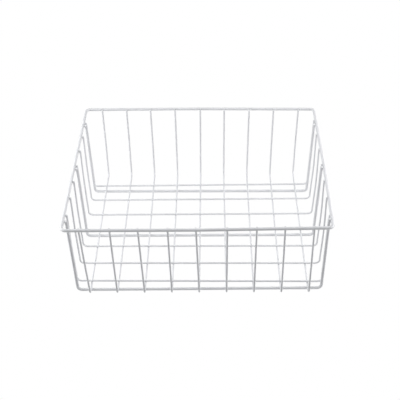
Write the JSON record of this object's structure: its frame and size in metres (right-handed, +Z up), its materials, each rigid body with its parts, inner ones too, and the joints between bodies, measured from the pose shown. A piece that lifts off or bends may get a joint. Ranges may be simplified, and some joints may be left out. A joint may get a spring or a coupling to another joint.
{
  "type": "wire basket tray",
  "caption": "Open-topped rectangular wire basket: heavy rim, thin bent wires forming walls and floor, heavy frame wires under it. Holds cables, plugs or papers.",
  "frame": {"origin": "on the standing surface, under the middle of the rim", "axes": "+X along the long side of the rim, to the right seen from the front; +Y from the front wall to the back wall; +Z up"},
  "size_m": [0.357, 0.279, 0.134],
  "materials": {
    "white_coating": "smooth satin-gloss white polymer coating over steel wire"
  },
  "bodies": {
    "root": {"top_rim": "white_coating", "front_to_back_wire_1": "white_coating", "front_to_back_wire_2": "white_coating", "front_to_back_wire_3": "white_coating", "front_to_back_wire_4": "white_coating", "front_to_back_wire_5": "white_coating", "front_to_back_wire_6": "white_coating", "front_to_back_wire_7": "white_coating", "front_to_back_wire_8": "white_coating", "front_to_back_wire_9": "white_coating", "side_to_side_wire_1": "white_coating", "side_to_side_wire_2": "white_coating", "side_to_side_wire_3": "white_coating", "side_to_side_wire_4": "white_coating", "side_to_side_wire_5": "white_coating", "side_to_side_wire_6": "white_coating", "side_to_side_wire_7": "white_coating", "frame_wire_front": "white_coating", "frame_wire_middle": "white_coating", "frame_wire_back": "white_coating"}
  },
  "joints": []
}
